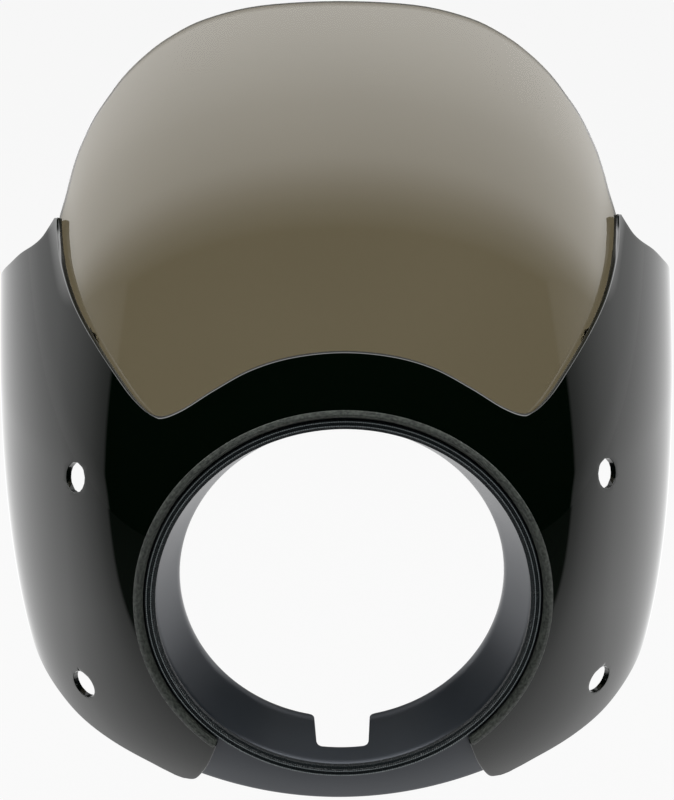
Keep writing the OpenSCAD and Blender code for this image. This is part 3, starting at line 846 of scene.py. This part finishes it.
def roomLevel(tree, towards):
    # the room's ramp for a direction; under the horizon the dark part leans away
    split = addNode(tree, "ShaderNodeSeparateXYZ", links={0: towards})
    under = addNode(tree, "ShaderNodeMath", {"operation": "MINIMUM"}, {1: 0.0}, {0: split.outputs["Z"]})
    leaned = addNode(tree, "ShaderNodeMath", {"operation": "MULTIPLY_ADD"}, {1: studio["floorLean"]},
                     {0: under.outputs[0], 2: split.outputs["Y"]})
    gain = addNode(tree, "ShaderNodeMapRange",
                   inputs={"From Min": studio["gainFrom"], "From Max": 0.0, "To Min": studio["floorGain"]},
                   links={"Value": split.outputs["Z"]})
    shown = addNode(tree, "ShaderNodeMath", {"operation": "MULTIPLY"},
                    links={0: rampCurve(tree, studio["room"], leaned.outputs[0]), 1: gain.outputs[0]})
    return shown.outputs[0], split


def paperMaterial():
    # white paper: shows white, keeps a soft shadow, and is dimmer to mirrors towards the dark room
    material = bpy.data.materials.new("white paper")
    material.use_nodes = True
    tree = material.node_tree
    tree.nodes.clear()
    plain, mirrored = rayKinds(tree)
    coord = addNode(tree, "ShaderNodeTexCoord")
    towards = addNode(tree, "ShaderNodeVectorMath", {"operation": "NORMALIZE"},
                      links={0: coord.outputs["Object"]})
    room, _ = roomLevel(tree, towards.outputs[0])
    level = chooseLevel(tree, [(plain, 1.0), (mirrored, room)], 1.0)
    share = chooseLevel(tree, [(plain, studio["plainGlow"]), (mirrored, studio["mirroredGlow"])], 0.0)
    paper = addNode(tree, "ShaderNodeBsdfDiffuse", inputs={"Color": (studio["paper"],) * 3 + (1,)})
    glow = addNode(tree, "ShaderNodeEmission", inputs={"Color": (1, 1, 1, 1)}, links={"Strength": level})
    both = addNode(tree, "ShaderNodeMixShader", links={0: share, 1: paper.outputs[0], 2: glow.outputs[0]})
    addNode(tree, "ShaderNodeOutputMaterial", links={"Surface": both.outputs[0]})
    return material


paper = bmesh.new()
bmesh.ops.create_grid(paper, x_segments=1, y_segments=1, size=studio["halfFloor"])
bmesh.ops.translate(paper, vec=(0, 0, studio["floorZ"]), verts=paper.verts)
paperMesh = bpy.data.meshes.new("paper")
paper.to_mesh(paperMesh)
paper.free()
paperFloor = bpy.data.objects.new("paper", paperMesh)
bpy.context.collection.objects.link(paperFloor)
paperMesh.materials.append(paperMaterial())

softbox = bpy.data.lights.new("softbox", "AREA")
softbox.shape = "RECTANGLE"
softbox.size, softbox.size_y = studio["topSize"]
softbox.energy = studio["topLight"]
softboxObject = bpy.data.objects.new("softbox", softbox)
softboxObject.location = (0, 0, studio["topZ"])
softboxObject.visible_glossy = False
softboxObject.visible_camera = False
softboxObject.visible_transmission = False
bpy.context.collection.objects.link(softboxObject)

world = bpy.data.worlds.new("studio")
bpy.context.scene.world = world
world.use_nodes = True
tree = world.node_tree
tree.nodes.clear()
plain, mirrored = rayKinds(tree)
direction = addNode(tree, "ShaderNodeTexCoord")
room, split = roomLevel(tree, direction.outputs["Generated"])
leaned = addNode(tree, "ShaderNodeMath", {"operation": "MULTIPLY_ADD"}, {1: studio["lean"]},
                 {0: split.outputs["Z"], 2: split.outputs["Y"]})
ceiling = rampCurve(tree, studio["ceiling"], leaned.outputs[0])
above = addNode(tree, "ShaderNodeMapRange", {"interpolation_type": "SMOOTHSTEP"},
                {"From Min": 0.0, "From Max": studio["ceilingRise"]}, {"Value": split.outputs["Z"]})
ceiling = addNode(tree, "ShaderNodeMath", {"operation": "MULTIPLY"}, links={0: ceiling, 1: above.outputs[0]})
# the room is dark again high up behind the object
high = addNode(tree, "ShaderNodeMapRange", {"interpolation_type": "SMOOTHSTEP"},
               {"From Min": studio["darkAbove"][0], "From Max": studio["darkAbove"][1]},
               {"Value": split.outputs["Z"]})
behind = addNode(tree, "ShaderNodeMapRange", {"interpolation_type": "SMOOTHSTEP"},
                 {"From Min": studio["darkBehind"][0], "From Max": studio["darkBehind"][1]},
                 {"Value": split.outputs["Y"]})
dark = addNode(tree, "ShaderNodeMath", {"operation": "MULTIPLY"},
               links={0: high.outputs[0], 1: behind.outputs[0]})
light = addNode(tree, "ShaderNodeMath", {"operation": "SUBTRACT"}, {0: 1.0}, {1: dark.outputs[0]})
room = addNode(tree, "ShaderNodeMath", {"operation": "MULTIPLY"}, links={0: room, 1: light.outputs[0]})
seen = addNode(tree, "ShaderNodeMath", {"operation": "MAXIMUM"},
               links={0: room.outputs[0], 1: ceiling.outputs[0]})
level = chooseLevel(tree, [(plain, 1.0), (mirrored, seen.outputs[0])], studio["worldLight"])
sky = addNode(tree, "ShaderNodeBackground", inputs={"Color": (1, 1, 1, 1)}, links={"Strength": level})
addNode(tree, "ShaderNodeOutputWorld", links={"Surface": sky.outputs[0]})
print("studio lit")

# camera at the photograph's view: 22.6 degrees above, 1.4 m away, image 674 x 800
view = {"elevation": 22.56, "azimuth": -1.1, "distance": 1.4, "aim": (-0.00185, 0.03, 0.07986),
        "focalPx": 2857.0, "imagePx": 800, "sensorMm": 24}
e, a = math.radians(view["elevation"]), math.radians(view["azimuth"])
back = Vector((math.sin(a) * math.cos(e), -math.cos(a) * math.cos(e), math.sin(e)))
camera = bpy.data.cameras.new("camera")
camera.sensor_fit = "VERTICAL"
camera.sensor_height = view["sensorMm"]
camera.lens = view["sensorMm"] * view["focalPx"] / view["imagePx"]
cameraObject = bpy.data.objects.new("camera", camera)
cameraObject.location = Vector(view["aim"]) + back * view["distance"]
cameraObject.rotation_euler = (-back).to_track_quat("-Z", "Y").to_euler()
bpy.context.collection.objects.link(cameraObject)
bpy.context.scene.camera = cameraObject
bpy.context.scene.view_settings.view_transform = "Standard"
